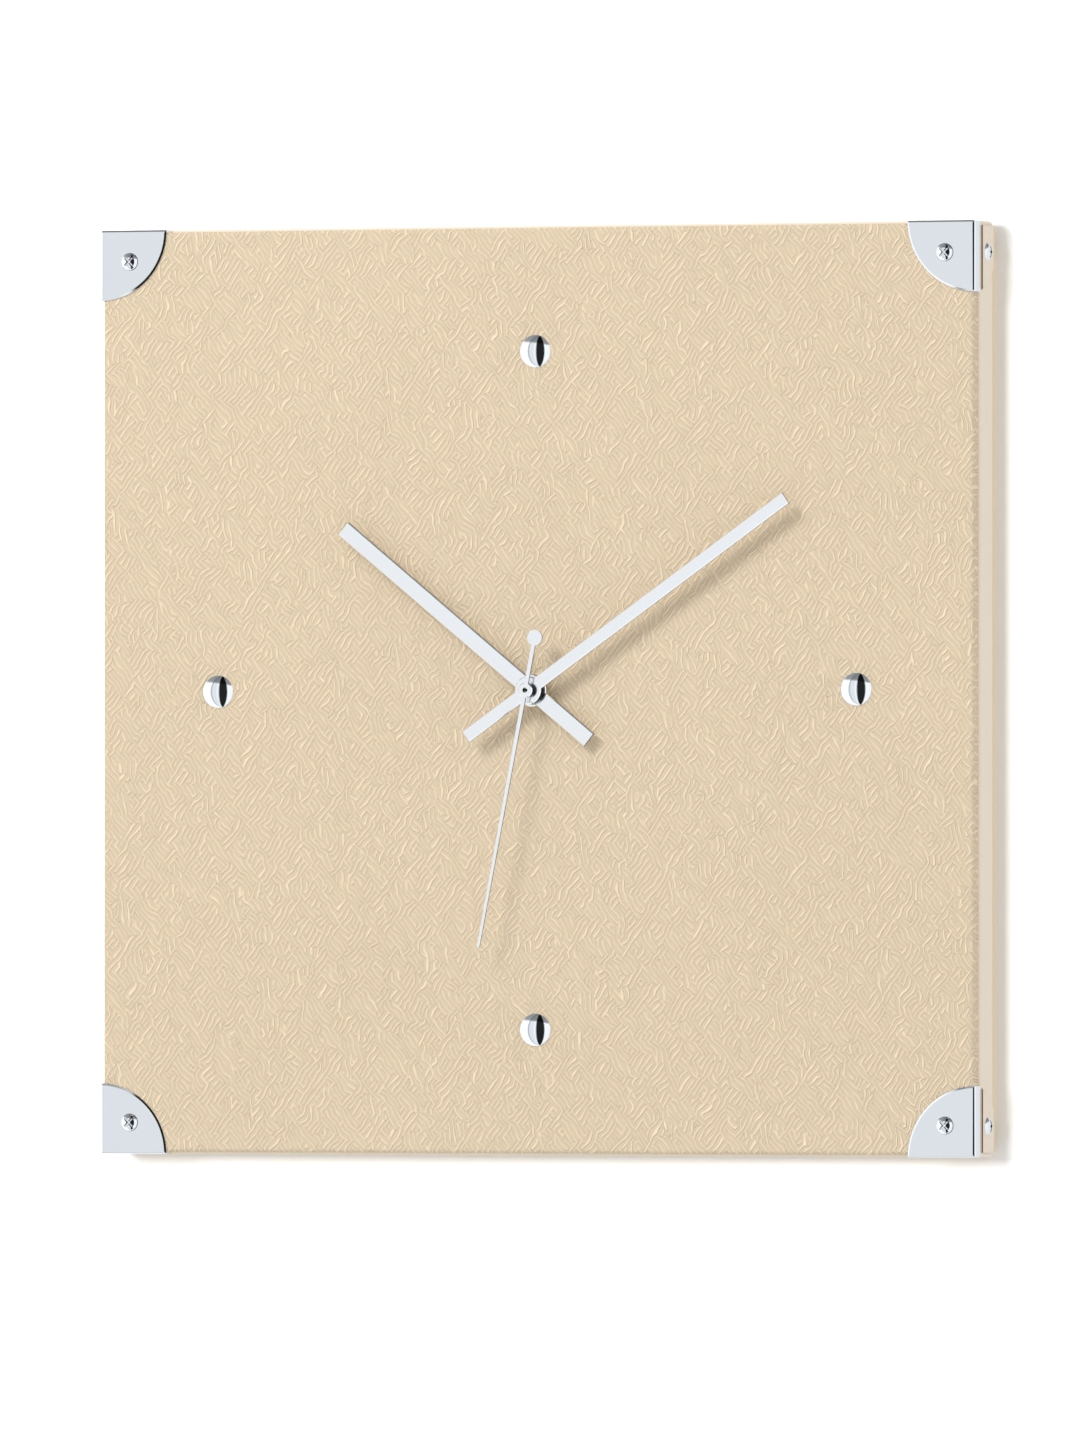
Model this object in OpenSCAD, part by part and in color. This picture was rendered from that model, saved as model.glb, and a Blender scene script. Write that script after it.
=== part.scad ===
// Square wall clock: a board wrapped in embossed leatherette on a screwed wooden frame,
// with chromed corner caps, four dome studs, three baton hands and a quartz movement.
// Origin: the dial axis where it meets the wall. +Z up, +X to the right, front towards -Y.
// Angles of hands and gears run clockwise from +Z as seen from the front.

/* [Dial board] */
// Width of the dial board over its cover
face_w = 300; // [240:1:380]
// Height of the dial board over its cover
face_h = 300; // [240:1:380]
// Thickness of the wooden dial board
board_t = 3.7; // [3:0.1:5]
// Thickness of the padded leatherette on the dial board
cover_t = 0.8; // [0.5:0.1:1.5]
// Radius of the wrapped front edges
cover_edge_r = 1.2; // [0.5:0.1:2]

/* [Frame] */
// Depth of the wooden frame behind the board
band_d = 12; // [12:0.5:24]
// How far the wrapped frame stands out past the board's cover
band_proud = 0.8; // [0.2:0.1:2]
// Thickness of the wrap round the frame
band_t = 1; // [0.4:0.1:1.2]
// Width of the frame's stiles and rails
rail_w = 22; // [18:1:34]
// Depth of the wall-side frame
rear_d = 6.5; // [5:0.5:12]
// Step in from the wrapped frame to the wall-side frame
rear_step = 1.2; // [0.5:0.1:4]
// Width of the wall-side frame's bars
rear_w = 12; // [10:1:16]
// Thickness of the hardboard back panel
panel_t = 3; // [2:0.5:4]
// Clearance round the back panel
panel_clr = 0.3; // [0.1:0.1:1]
// Radius of the felt wall pads
pad_r = 4.5; // [3:0.5:5]
// Thickness of the felt wall pads
pad_t = 1; // [0.5:0.5:3]

/* [Corner caps and screws] */
// Radius of the quarter-round caps
cap_r = 23; // [20:1:40]
// Thickness of the cap metal
cap_t = 0.8; // [0.5:0.1:1.2]
// Width of the bevel along the cap's round edge
cap_bevel = 0.6; // [0.2:0.1:0.8]
// Radius of the cap's folded edges
cap_edge_r = 1.1; // [0.3:0.1:1.2]
// Distance of each cap screw from the board's two edges
cap_screw_in = 9.5; // [8:0.5:12]
// Radius of the cap screws' heads
cap_head_r = 2.9; // [2.4:0.1:3.6]
// Length of the cap screws under the face
cap_screw_len = 8.4; // [7:0.2:10]
// Radius of the wood screws' shanks
shank_r = 1.5; // [1.2:0.1:2]
// Clearance round the shanks in their holes
shank_clr = 0.05; // [0.02:0.01:0.2]
// Radius of the side screws' heads
side_head_r = 3; // [2.4:0.1:4]
// Height of the side screws' heads
side_head_h = 1.8; // [1:0.1:2.5]
// Distance of the side screws from the frame's top and bottom
side_screw_in = 10; // [8:0.5:12]
// Grip of the side screws in the rails past the stile
side_grip = 6; // [4:1:20]
// Radius of the back panel screws' heads
panel_head_r = 2.5; // [2:0.1:3]
// Length of the back panel screws under their heads
panel_screw_len = 9; // [7:1:12]

/* [Hour studs] */
// Distance of the dome studs in from the board's nearer edges
stud_in = 40; // [25:1:70]
// Radius of the domes
stud_r = 5.3; // [3:0.1:8]
// Height of the domes
stud_h = 3.4; // [2:0.1:5]
// Radius of the studs' posts
post_r = 1.25; // [0.8:0.05:2]
// Length of the posts past the board
post_end = 2; // [1.5:0.1:5]
// Radius of the push-on washers behind the board
stud_washer_r = 4; // [3:0.1:6]
// Thickness of the push-on washers
stud_washer_t = 0.6; // [0.3:0.1:1]

/* [Hands] */
// Hour hand, dial axis to tip
hour_len = 83.6; // [50:0.2:95]
// Hour hand's tail
hour_tail = 25.6; // [8:0.2:40]
// Hour hand's width
hour_w = 5.4; // [3:0.1:8]
// Hour hand's hub radius
hour_hub_r = 5.25; // [4:0.05:8]
// Minute hand, dial axis to tip
minute_len = 107.7; // [60:0.1:118]
// Minute hand's tail
minute_tail = 26; // [8:0.2:40]
// Minute hand's width
minute_w = 4.2; // [2.5:0.1:7]
// Minute hand's hub radius
minute_hub_r = 4.5; // [3:0.1:7]
// Second hand, dial axis to tip
second_len = 84.8; // [50:0.2:118]
// Second hand's tail to the middle of its disc
second_tail = 17.3; // [8:0.1:40]
// Radius of the disc on the second hand's tail
second_disc_r = 2.55; // [1.5:0.05:6]
// Second hand's width at the hub
second_w = 1.3; // [0.8:0.1:2]
// Second hand's width at the tip
second_tip_w = 0.9; // [0.5:0.1:1.5]
// Second hand's hub radius
second_hub_r = 2.45; // [2:0.05:4]
// Thickness of the hour and minute hands
hand_t = 1; // [0.5:0.1:1.5]
// Thickness of the second hand
second_t = 0.6; // [0.3:0.1:1]
// Bevel along the hands' edges
hand_bevel = 0.3; // [0.1:0.05:0.4]
// Clear height between one hand and the next
hand_gap = 2; // [1.5:0.1:4]
// Hour hand's resting angle
hour_angle = 309.1; // [0:0.1:360]
// Minute hand's resting angle
minute_angle = 55; // [0:0.1:360]
// Second hand's resting angle
second_angle = 191; // [0:0.1:360]

/* [Movement] */
// Width and height of the movement's case
mv_w = 56; // [56:1:60]
// Depth of the movement's case
mv_d = 16; // [16:0.1:16.5]
// Thickness of the case's side walls
mv_wall = 1.2; // [0.8:0.1:1.2]
// Thickness of the case's front wall
mv_floor = 1.5; // [1.4:0.1:1.6]
// Thickness of the cover over the gears
mv_cover_t = 1.4; // [1:0.1:1.8]
// Radius of the case's corners
mv_corner_r = 3; // [1:0.5:5]
// Clearance round the cover and its clips
mv_clr = 0.15; // [0.1:0.05:0.3]
// Margin of the back panel's cut-out round the case
mv_margin = 2; // [1:0.5:5]
// Outer radius of the bushing through the board
bush_r = 3.2; // [3.1:0.05:3.4]
// Height of the bushing above the dial
bush_end = 2.1; // [1.6:0.1:5]
// Clearance of the bushing in the board
bush_clr = 0.3; // [0.1:0.1:0.6]
// Reach of the fixing ears past the sides of the case
ear_w = 9; // [8:0.5:12]
// Thickness of the fixing ears
ear_t = 2; // [1.5:0.1:3]
// Length of the ears' screws under their heads
ear_screw_len = 5; // [4:0.1:5.2]
// Outer radius of the hour pipe
hour_pipe_r = 2.5; // [2.3:0.05:2.8]
// Outer radius of the minute pipe
minute_pipe_r = 1.6; // [1.3:0.05:1.8]
// Radius of the seconds arbor and of the wheels' arbors
arbor_r = 0.5; // [0.4:0.05:0.6]
// Radius of the pivots
pivot_r = 0.3; // [0.2:0.05:0.35]
// Radial clearance of the pipes and pivots in their bearings
run_clr = 0.05; // [0.02:0.01:0.08]
// Radius of the AA cell
cell_r = 7.25; // [7:0.05:7.3]
// Length of the AA cell without its button
cell_len = 49.5; // [49:0.1:50]

/* [Gear train] */
// Tooth size of the rotor and third wheel meshes
m_fine = 0.25; // [0.24:0.005:0.26]
// Tooth size of the seconds wheel
m_seconds = 0.3; // [0.295:0.005:0.31]
// Tooth size of the motion work
m_motion = 0.4; // [0.38:0.005:0.41]
// Thickness of the gear wheels
wheel_t = 0.8; // [0.5:0.05:0.9]

/* [Hanger] */
// Distance of the keyhole's entry hole below the board's top edge
keyhole_in = 53; // [40:1:90]
// Radius of the keyhole's entry hole
keyhole_r = 4.5; // [4:0.1:6]
// Width of the keyhole's slot
keyhole_slot_w = 4.5; // [3.5:0.1:5.5]
// Rise from the entry hole to the end of the slot
keyhole_rise = 9; // [8:0.5:14]
// Width of the hanger plate
hanger_w = 70; // [60:1:100]
// Thickness of the hanger plate
hanger_t = 1.2; // [0.8:0.1:1.5]

/* [Hidden] */
$fn = 64;
// Gap that keeps cutting shapes clear of the faces they cut
eps = 0.01;

// Depths, from the wall at 0 to the front of the dial
y_rear = -pad_t;
y_band = y_rear - rear_d;
y_board = y_band - band_d;
y_board_front = y_board - board_t;
y_face = y_board_front - cover_t;
y_panel = y_band + panel_t;
y_bush = y_face - bush_end;
bush_to_hour = 0.9;
y_hour = y_bush - bush_to_hour;
y_hour_front = y_hour - hand_t;
y_minute = y_hour_front - hand_gap;
y_minute_front = y_minute - hand_t;
y_second = y_minute_front - hand_gap + 0.1;
y_second_front = y_second - second_t;
pipe_show = 0.2;
hub_clr = 0.3;
hour_hub_d = hand_t + 0.5;
minute_hub_d = y_hour_front - hub_clr - y_minute_front;
second_hub_d = y_minute_front - hub_clr - y_second_front;
second_hole_r = 0.85;
second_hole_d = 1.2;

// Plan sizes: half widths, and half heights
board_x = face_w / 2 - cover_t;
board_z = face_h / 2 - cover_t;
band_x = face_w / 2 + band_proud;
band_z = face_h / 2 + band_proud;
frame_x = band_x - band_t;
frame_z = band_z - band_t;
rail_in_x = frame_x - rail_w;
rail_in_z = frame_z - rail_w;
rear_x = band_x - rear_step;
rear_z = band_z - rear_step;
rear_in_x = rear_x - rear_w;
rear_in_z = rear_z - rear_w;
panel_x = rear_in_x - panel_clr;
panel_z = rear_in_z - panel_clr;
plan_corner_r = 1;

// Screws and pads
cap_screw_x = face_w / 2 - cap_screw_in;
cap_screw_z = face_h / 2 - cap_screw_in;
cap_head_h = 1.5;
side_screw_y = (y_band + y_board) / 2;
side_screw_z = band_z - side_screw_in;
side_screw_len = band_t + rail_w + side_grip;
panel_screw_x = (panel_x + rail_in_x) / 2;
panel_screw_z = (panel_z + rail_in_z) / 2;
panel_head_h = 1.4;
pad_x = rear_x - rear_w / 2;
pad_z = rear_z - rear_w / 2;

// Movement: depth d is counted from the front of its case
y_mv = y_board;
mv_half = mv_w / 2;
mv_in = mv_half - mv_wall;
ear_x = mv_half + ear_w / 2;
ear_half_h = 5;
bay_wall = 1;
bay_floor = 0.7;
bay_h = 2 * cell_r + 0.9;
bay_top_z = -mv_in + bay_h;
room_z = bay_top_z + bay_wall;
cell_z = bay_top_z - bay_h / 2;
cell_d = bay_floor + cell_r + 0.1;
cover_d = mv_d - mv_cover_t;
bush_bore_r = hour_pipe_r + run_clr;
hour_bore_r = minute_pipe_r + run_clr;
minute_bore_r = arbor_r + run_clr;
pivot_hole_r = pivot_r + run_clr;
flange_r = bush_r + 1.1;
flange_t = 0.8;

// Levels inside the movement, from the front of its case
level_hour = mv_floor + 0.3;
level_cannon = level_hour + 1.5;
level_centre = level_cannon + 1.8;
level_mid = level_centre + 1.2;
mid_t = 0.8;
level_third = level_mid + mid_t + 0.4;
level_seconds = level_third + 1.4;
level_inter = level_seconds + 1.4;
level_bridge = level_inter + 1.3;
bridge_t = 0.8;
hour_gear_t = 1.1;
level_rotor = level_mid + mid_t + 0.6;
rotor_h = 2.2;
rotor_r = 2.8;
stator_t = 0.8;
level_stator = level_seconds - 0.3;
level_core = level_stator + stator_t;
core_t = 1.5;
core_w = 3;
board_level = level_mid;

// Teeth, wheel then driver or driven pinion
z_seconds = 40;
z_seconds_pinion = 8;
z_third = 64;
z_third_pinion = 8;
z_centre = 60;
z_inter = 48;
z_inter_pinion = 8;
z_rotor_pinion = 8;
z_cannon = 12;
z_motion = 36;
z_motion_pinion = 10;
z_hour = 40;
z_set = 12;

// Centre distances, and the tooth sizes that share one
third_a = m_fine * (z_third + z_seconds_pinion) / 2;
m_centre = 2 * third_a / (z_centre + z_third_pinion);
inter_a = m_seconds * (z_seconds + z_inter_pinion) / 2;
rotor_a = m_fine * (z_inter + z_rotor_pinion) / 2;
motion_a = m_motion * (z_cannon + z_motion) / 2;
m_hour = 2 * motion_a / (z_hour + z_motion_pinion);
set_a = m_motion * (z_motion + z_set) / 2;

// Directions from one arbor to the next
third_dir = -60;
inter_dir = 10;
rotor_dir = 30;
motion_dir = 60;
set_dir = 70;

// Range of half width h round c
function around(c, h) = [c - h, c + h];

// Places of the arbors, [x, z]
function polar(a, dir) = [a * sin(dir), a * cos(dir)];
dial_at = [0, 0];
third_at = polar(third_a, third_dir);
inter_at = polar(inter_a, inter_dir);
rotor_at = inter_at + polar(rotor_a, rotor_dir);
motion_at = polar(motion_a, motion_dir);
set_at = motion_at + polar(set_a, set_dir);

// Angle that puts a gear of zb teeth in mesh with one of za teeth turned to pa,
// lying in direction dir from it
function in_mesh(dir, pa, za, zb) = dir + 180 - (0.5 - (dir - pa) * za / 360) * 360 / zb;
third_phase = in_mesh(third_dir, 0, z_seconds_pinion, z_third);
centre_phase = in_mesh(third_dir + 180, 0, z_third_pinion, z_centre);
inter_phase = in_mesh(inter_dir, 0, z_seconds, z_inter_pinion);
rotor_phase = in_mesh(rotor_dir, 0, z_inter, z_rotor_pinion);
motion_phase = in_mesh(motion_dir, 0, z_cannon, z_motion);
hour_phase = in_mesh(motion_dir + 180, 0, z_motion_pinion, z_hour);
set_phase = in_mesh(set_dir, motion_phase, z_motion, z_set);

// Tooth shapes: [half thickness at the pitch line, addendum, dedendum, tip taper, root flare]
wheel_tooth = [0.7, 0.9, 1.2, 0.55, 1.35];
pinion_tooth = [0.6, 0.8, 1.3, 0.5, 1];

// Posts and pillars, [x, z]
front_posts = [[-14, -8], [12, -8], [-17, 14.5], [20, 14.5]];
pillars = [[-14, -8], [9, -8], [-16.5, 14.5], [14, 3]];
pillar_r = 1.5;
post_level_r = 1.2;
circuit_x = [-26.3, -18.6];
circuit_z = [-5.5, 22];
circuit_t = 1;
circuit_mid_x = (circuit_x[0] + circuit_x[1]) / 2;
circuit_posts = [[circuit_mid_x, -3], [circuit_mid_x, 19.5]];
cover_posts = [[-24.8, 24.8], [24.8, 24.8], [-23.5, -8.2], [23.5, -8.2]];
cover_post_r = 1.7;
third_post_r = 0.8;
mid_x = [-19.5, 21.6];
mid_z = [-9.8, 17];
bridge_x = [-18.3, 16];
bridge_z = [-9.8, 16.6];
third_window_r = 1.6;
crystal_r = 1.5;
crystal_len = 8;
crystal_z = 11;
chip_z = 4;
chip_r = 2.6;
chip_h = 1;
coil_z = 22;
coil_half = 8;
coil_d = level_core + core_t / 2;
coil_r = 3.9;
barrel_r = 2.2;
coil_flange_r = 4.1;
coil_flange_t = 1;
core_half = 13.2;
leg_in = coil_half + coil_flange_t + 0.2;
stator_z = [9.8, 16.8];
clip_z = 9;
clip_w = 6;

// Battery contacts: the strips behind the cell's ends, and the arms that reach the circuit
strip_t = 0.3;
strip_h = 12;
strip_d = [3, 13];
arm_w = 2;
arm_d = [board_level, board_level + 2.4];
run_d = [level_bridge + bridge_t + 0.2, cover_d - 0.8];
tab_x = [-21.5, -20.2];
tab_d = [board_level + circuit_t, board_level + circuit_t + strip_t];
spring_w = 4;
spring_rise = 5;
spring_tip = 0.6;

// Set knob
knob_r = 4.2;
knob_t = 1.2;
knob_gap = 0.1;
set_shaft_r = 0.8;

CHROME = "lightsteelblue";
STEEL = "silver";
TAN = "tan";
BRASS = "goldenrod";

// ---- Shapes used by several pieces ----

// Flat outline in X and Z, thickened from depth y0 to depth y1
module slab(y0, y1) {
    translate([0, y1, 0]) rotate([90, 0, 0]) linear_extrude(y1 - y0) children();
}

// Round bar along Y from depth y0 to depth y1, at [x, z]
module bar(y0, y1, r, at = [0, 0]) {
    translate([at[0], y1, at[1]]) rotate([90, 0, 0]) cylinder(h = y1 - y0, r = r);
}

// Turned shape standing on depth y, its outline's heights running to the front
module turned(y, at = [0, 0]) {
    translate([at[0], y, at[1]]) rotate([90, 0, 0]) rotate_extrude() children();
}

// Box given by two corners
module block(low, high) {
    translate(low) cube(high - low);
}

// Rectangle of half sizes hx and hz with round corners
module round_rect(hx, hz, r) {
    square([2 * (hx - r), 2 * hz], center = true);
    square([2 * hx, 2 * (hz - r)], center = true);
    for (sx = [-1, 1], sz = [-1, 1]) translate([sx * (hx - r), sz * (hz - r)]) circle(r);
}

// Profile of half width h from depth 0 to depth d whose far corners are round
module front_profile(h, d, r) {
    translate([-h, 0]) square([2 * h, d - r]);
    translate([-h + r, 0]) square([2 * (h - r), d]);
    for (s = [-1, 1]) translate([s * (h - r), d - r]) circle(r);
}

// Slab with round front edges, from depth y1 forward to depth y0
module soft_slab(hx, hz, y0, y1, edge_r) {
    intersection() {
        slab(y0, y1) round_rect(hx, hz, plan_corner_r);
        translate([0, y1, -hz - 1]) mirror([0, 1, 0])
            linear_extrude(2 * hz + 2) front_profile(hx, y1 - y0, edge_r);
        translate([-hx - 1, y1, 0]) rotate(a = 180, v = [1, 0, 1])
            linear_extrude(2 * hx + 2) front_profile(hz, y1 - y0, edge_r);
    }
}

// Child made for the top right corner, moved to the corner with signs sx and sz
module to_corner(sx, sz) {
    mirror([sx < 0 ? 1 : 0, 0, 0]) mirror([0, 0, sz < 0 ? 1 : 0]) children();
}

// The same child at all four corners
module at_corners() {
    for (sx = [-1, 1], sz = [-1, 1]) to_corner(sx, sz) children();
}

// Outline of a gear of z teeth of size m, its first tooth turned to phase
function gear_points(z, m, phase, tooth) =
    let (rp = z * m / 2, rt = rp + tooth[1] * m, rr = rp - tooth[2] * m,
        at_pitch = tooth[0] * m / rp * 180 / PI,
        at_tip = tooth[3] * tooth[0] * m / rt * 180 / PI,
        at_root = min(tooth[4] * tooth[0] * m / rr * 180 / PI, 0.92 * 180 / z))
    [for (i = [0 : z - 1], p = [[rr, -at_root], [rp, -at_pitch], [rt, -at_tip],
            [rt, at_tip], [rp, at_pitch], [rr, at_root]])
        polar(p[0], phase + i * 360 / z + p[1])];

// Gear from movement depth d0 to d1, centred at [x, z]
module gear(z, m, phase, tooth, d0, d1, at = [0, 0]) {
    translate([at[0], 0, at[1]]) slab(y_mv + d0, y_mv + d1)
        polygon(gear_points(z, m, phase, tooth));
}

// Bar inside the movement, from depth d0 to d1 behind the case's front
module mv_bar(d0, d1, r, at = [0, 0]) {
    bar(y_mv + d0, y_mv + d1, r, at);
}

// Box inside the movement, depth d measured from the case's front
module mv_block(x, z, d) {
    block([x[0], y_mv + d[0], z[0]], [x[1], y_mv + d[1], z[1]]);
}

// Screw with a raised countersunk head and a cross recess, head rim on depth y
module oval_screw(y, head_r, dome_h, sink, shank, len, at) {
    difference() {
        union() {
            turned(y, at) polygon([[0, -sink], [shank, -sink], [head_r, 0],
                for (i = [1 : 6]) [head_r * cos(i * 15), dome_h * sin(i * 15)]]);
            bar(y + sink - eps, y + len, shank, at);
        }
        cross_recess(y - dome_h, head_r * 0.62, at);
    }
}

// Cross recess cut into a head whose top is at depth y
module cross_recess(y, reach, at) {
    slot_w = reach * 0.36;
    depth = 0.7;
    translate([at[0], y + depth / 2 - eps, at[1]]) for (turn = [45, 135]) rotate([0, turn, 0])
        cube([2 * reach, depth + eps, slot_w], center = true);
}

// Dome-headed wood screw lying along X, head seat at x
module side_screw(x, z, len) {
    translate([x, side_screw_y, z]) rotate([0, 90, 0]) difference() {
        union() {
            rotate_extrude() polygon([[0, 0], [side_head_r, 0],
                for (i = [1 : 6]) [side_head_r * cos(i * 15), side_head_h * sin(i * 15)]]);
            translate([0, 0, -len]) cylinder(h = len, r = shank_r);
        }
        for (turn = [0, 90]) rotate([0, 0, turn]) translate([0, 0, side_head_h])
            cube([side_head_r * 1.24, side_head_r * 0.24, 1.4], center = true);
    }
}

// ---- Dial board and frame ----

// Places of the four studs, clockwise from 12
dome_steps = 24;
stud_circle_r = min(face_w, face_h) / 2 - stud_in;
stud_at = [for (i = [0 : 3]) polar(stud_circle_r, i * 90)];

module board_holes(y0, y1) {
    bar(y0, y1, bush_r + bush_clr);
    for (at = stud_at) bar(y0, y1, post_r + shank_clr, at);
    at_corners() bar(y0, y1, shank_r + shank_clr, [cap_screw_x, cap_screw_z]);
}

module face_board() {
    color("burlywood") difference() {
        slab(y_board_front, y_board) round_rect(board_x, board_z, plan_corner_r);
        board_holes(y_board_front - eps, y_board + eps);
        for (s = [-1, 1]) bar(y_mv + ear_t - ear_screw_len, y_board + eps,
            shank_r + shank_clr, [s * ear_x, 0]);
    }
}

module face_cover() {
    color(TAN) difference() {
        soft_slab(face_w / 2, face_h / 2, y_face, y_board, cover_edge_r);
        slab(y_board_front, y_board + eps) round_rect(board_x, board_z, plan_corner_r);
        board_holes(y_face - eps, y_board);
    }
}

module stile(s) {
    color("burlywood") difference() {
        block([s > 0 ? rail_in_x : -frame_x, y_board, -frame_z],
            [s > 0 ? frame_x : -rail_in_x, y_band, frame_z]);
        frame_holes();
    }
}

module left_stile() { stile(-1); }

module right_stile() { stile(1); }

module rail(s) {
    color("burlywood") difference() {
        block([-rail_in_x, y_board, s > 0 ? rail_in_z : -frame_z],
            [rail_in_x, y_band, s > 0 ? frame_z : -rail_in_z]);
        frame_holes();
    }
}

module top_rail() { rail(1); }

module bottom_rail() { rail(-1); }

// Pilot holes for every screw that enters the wooden frame
module frame_holes() {
    at_corners() {
        bar(y_board - eps, y_face + cap_screw_len, shank_r + shank_clr,
            [cap_screw_x, cap_screw_z]);
        translate([band_x - side_screw_len, side_screw_y, side_screw_z]) rotate([0, 90, 0])
            cylinder(h = side_screw_len + 1, r = shank_r + shank_clr);
    }
    for (at = panel_screw_at) bar(y_panel - panel_screw_len, y_band + eps,
        shank_r + shank_clr, at);
}

// Back panel screws: two in each rail and one in each stile
panel_screw_at = [for (s = [-1, 1]) each [[-panel_screw_x * 0.7, s * panel_screw_z],
    [panel_screw_x * 0.7, s * panel_screw_z], [s * panel_screw_x, 0]]];

module side_band() {
    color("wheat") difference() {
        soft_slab(band_x, band_z, y_board, y_band, band_t);
        slab(y_board - eps, y_band + eps) square([2 * frame_x, 2 * frame_z], center = true);
        at_corners() translate([frame_x - 1, side_screw_y, side_screw_z]) rotate([0, 90, 0])
            cylinder(h = 3, r = shank_r + shank_clr);
    }
}

module rear_frame() {
    color(TAN) slab(y_band, y_rear) difference() {
        round_rect(rear_x, rear_z, plan_corner_r);
        square([2 * rear_in_x, 2 * rear_in_z], center = true);
    }
}

module rear_panel() {
    cut = mv_half + mv_margin;
    color("peru") difference() {
        slab(y_band, y_panel) difference() {
            square([2 * panel_x, 2 * panel_z], center = true);
            round_rect(cut, cut, mv_corner_r);
            translate([0, keyhole_z + keyhole_rise / 2])
                square([2 * keyhole_r + 8, keyhole_rise + 2 * keyhole_r + 6], center = true);
        }
        for (at = panel_screw_at) bar(y_band - eps, y_panel + eps, shank_r + shank_clr, at);
        for (s = [-1, 1]) bar(y_band - eps, y_panel + eps, rivet_r, [s * rivet_x, rivet_z]);
    }
}

module wall_pads() {
    color("dimgray") at_corners() bar(y_rear, 0, pad_r, [pad_x, pad_z]);
}

module panel_screws() {
    color(STEEL) for (at = panel_screw_at) difference() {
        union() {
            translate([at[0], y_panel, at[1]]) rotate([-90, 0, 0]) rotate_extrude()
                polygon([[0, 0], [panel_head_r, 0],
                    for (i = [1 : 6]) [panel_head_r * cos(i * 15), panel_head_h * sin(i * 15)]]);
            bar(y_panel - panel_screw_len, y_panel + eps, shank_r, at);
        }
        translate([at[0], y_panel + panel_head_h, at[1]]) for (turn = [0, 90])
            rotate([0, turn, 0]) cube([panel_head_r * 1.2, 1.2, 0.7], center = true);
    }
}

// ---- Corner caps, screws and studs ----

// Cap for the top right corner: a quarter disc on the face, folded down both sides
module corner_cap() {
    corner_x = face_w / 2 + cap_t;
    corner_z = face_h / 2 + cap_t;
    bevel_h = cap_bevel * 0.7;
    color(CHROME) difference() {
        intersection() {
            soft_slab(corner_x, corner_z, y_face - cap_t, y_board, cap_edge_r);
            block([corner_x - cap_r - 1, y_face - cap_t - 1, corner_z - cap_r - 1],
                [corner_x + 1, y_board + 1, corner_z + 1]);
            turned(y_face, [corner_x, corner_z]) polygon([[0, y_face - y_board - 1],
                [cap_r, y_face - y_board - 1], [cap_r, cap_t - bevel_h],
                [cap_r - cap_bevel, cap_t], [0, cap_t]]);
        }
        soft_slab(face_w / 2, face_h / 2, y_face, y_board + 1, cover_edge_r);
        turned(y_face, [cap_screw_x, cap_screw_z]) polygon([[0, -eps],
            [shank_r + shank_clr, -eps], [shank_r + shank_clr, 0],
            [cap_head_r + shank_clr, cap_t], [cap_head_r + shank_clr, cap_t + eps],
            [0, cap_t + eps]]);
    }
}

module corner_cap_top_left() { to_corner(-1, 1) corner_cap(); }

module corner_cap_top_right() { corner_cap(); }

module corner_cap_bottom_left() { to_corner(-1, -1) corner_cap(); }

module corner_cap_bottom_right() { to_corner(1, -1) corner_cap(); }

module cap_screws() {
    color(STEEL) at_corners() oval_screw(y_face - cap_t, cap_head_r, cap_head_h, cap_t,
        shank_r, cap_screw_len + cap_t, [cap_screw_x, cap_screw_z]);
}

module side_screws() {
    color(STEEL) at_corners() side_screw(band_x, side_screw_z, side_screw_len);
}

// Dome with its post through the board
module hour_stud(at) {
    ball_r = (stud_r * stud_r + stud_h * stud_h) / (2 * stud_h);
    rim_angle = acos(1 - stud_h / ball_r);
    color(CHROME) {
        turned(y_face, at) polygon([[0, 0], [stud_r, 0],
            for (i = [1 : dome_steps - 1]) let (a = rim_angle * (1 - i / dome_steps))
                [ball_r * sin(a), stud_h - ball_r * (1 - cos(a))],
            [0, stud_h]]);
        bar(y_face - eps, y_board + post_end, post_r, at);
    }
}

module hour_stud_12() { hour_stud(stud_at[0]); }

module hour_stud_3() { hour_stud(stud_at[1]); }

module hour_stud_6() { hour_stud(stud_at[2]); }

module hour_stud_9() { hour_stud(stud_at[3]); }

module stud_washers() {
    color(STEEL) for (at = stud_at) difference() {
        bar(y_board, y_board + stud_washer_t, stud_washer_r, at);
        bar(y_board - eps, y_board + stud_washer_t + eps, post_r, at);
    }
}

// ---- Hanger ----

rivet_x = hanger_w / 2 - 6;
keyhole_z = face_h / 2 - keyhole_in;
rivet_z = keyhole_z + keyhole_rise / 2;
rivet_r = 1.5;
rivet_head_r = 3;
rivet_head_h = 0.9;

module hanger_plate() {
    plate_h = keyhole_rise + 2 * keyhole_r + 12;
    color(STEEL) difference() {
        translate([0, 0, rivet_z]) slab(y_panel, y_panel + hanger_t)
            round_rect(hanger_w / 2, plate_h / 2, 4);
        bar(y_panel - eps, y_panel + hanger_t + eps, keyhole_r, [0, keyhole_z]);
        bar(y_panel - eps, y_panel + hanger_t + eps, keyhole_slot_w / 2,
            [0, keyhole_z + keyhole_rise]);
        block([-keyhole_slot_w / 2, y_panel - eps, keyhole_z],
            [keyhole_slot_w / 2, y_panel + hanger_t + eps, keyhole_z + keyhole_rise]);
        for (s = [-1, 1]) bar(y_panel - eps, y_panel + hanger_t + eps, rivet_r,
            [s * rivet_x, rivet_z]);
    }
}

module hanger_rivets() {
    color(STEEL) for (s = [-1, 1]) {
        at = [s * rivet_x, rivet_z];
        bar(y_band - rivet_head_h, y_band, rivet_head_r, at);
        bar(y_band - eps, y_panel + hanger_t + eps, rivet_r, at);
        translate([at[0], y_panel + hanger_t, at[1]]) rotate([-90, 0, 0]) rotate_extrude()
            polygon([[0, 0], [rivet_head_r, 0],
                for (i = [1 : 6]) [rivet_head_r * cos(i * 15), rivet_head_h * sin(i * 15)]]);
    }
}

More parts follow.
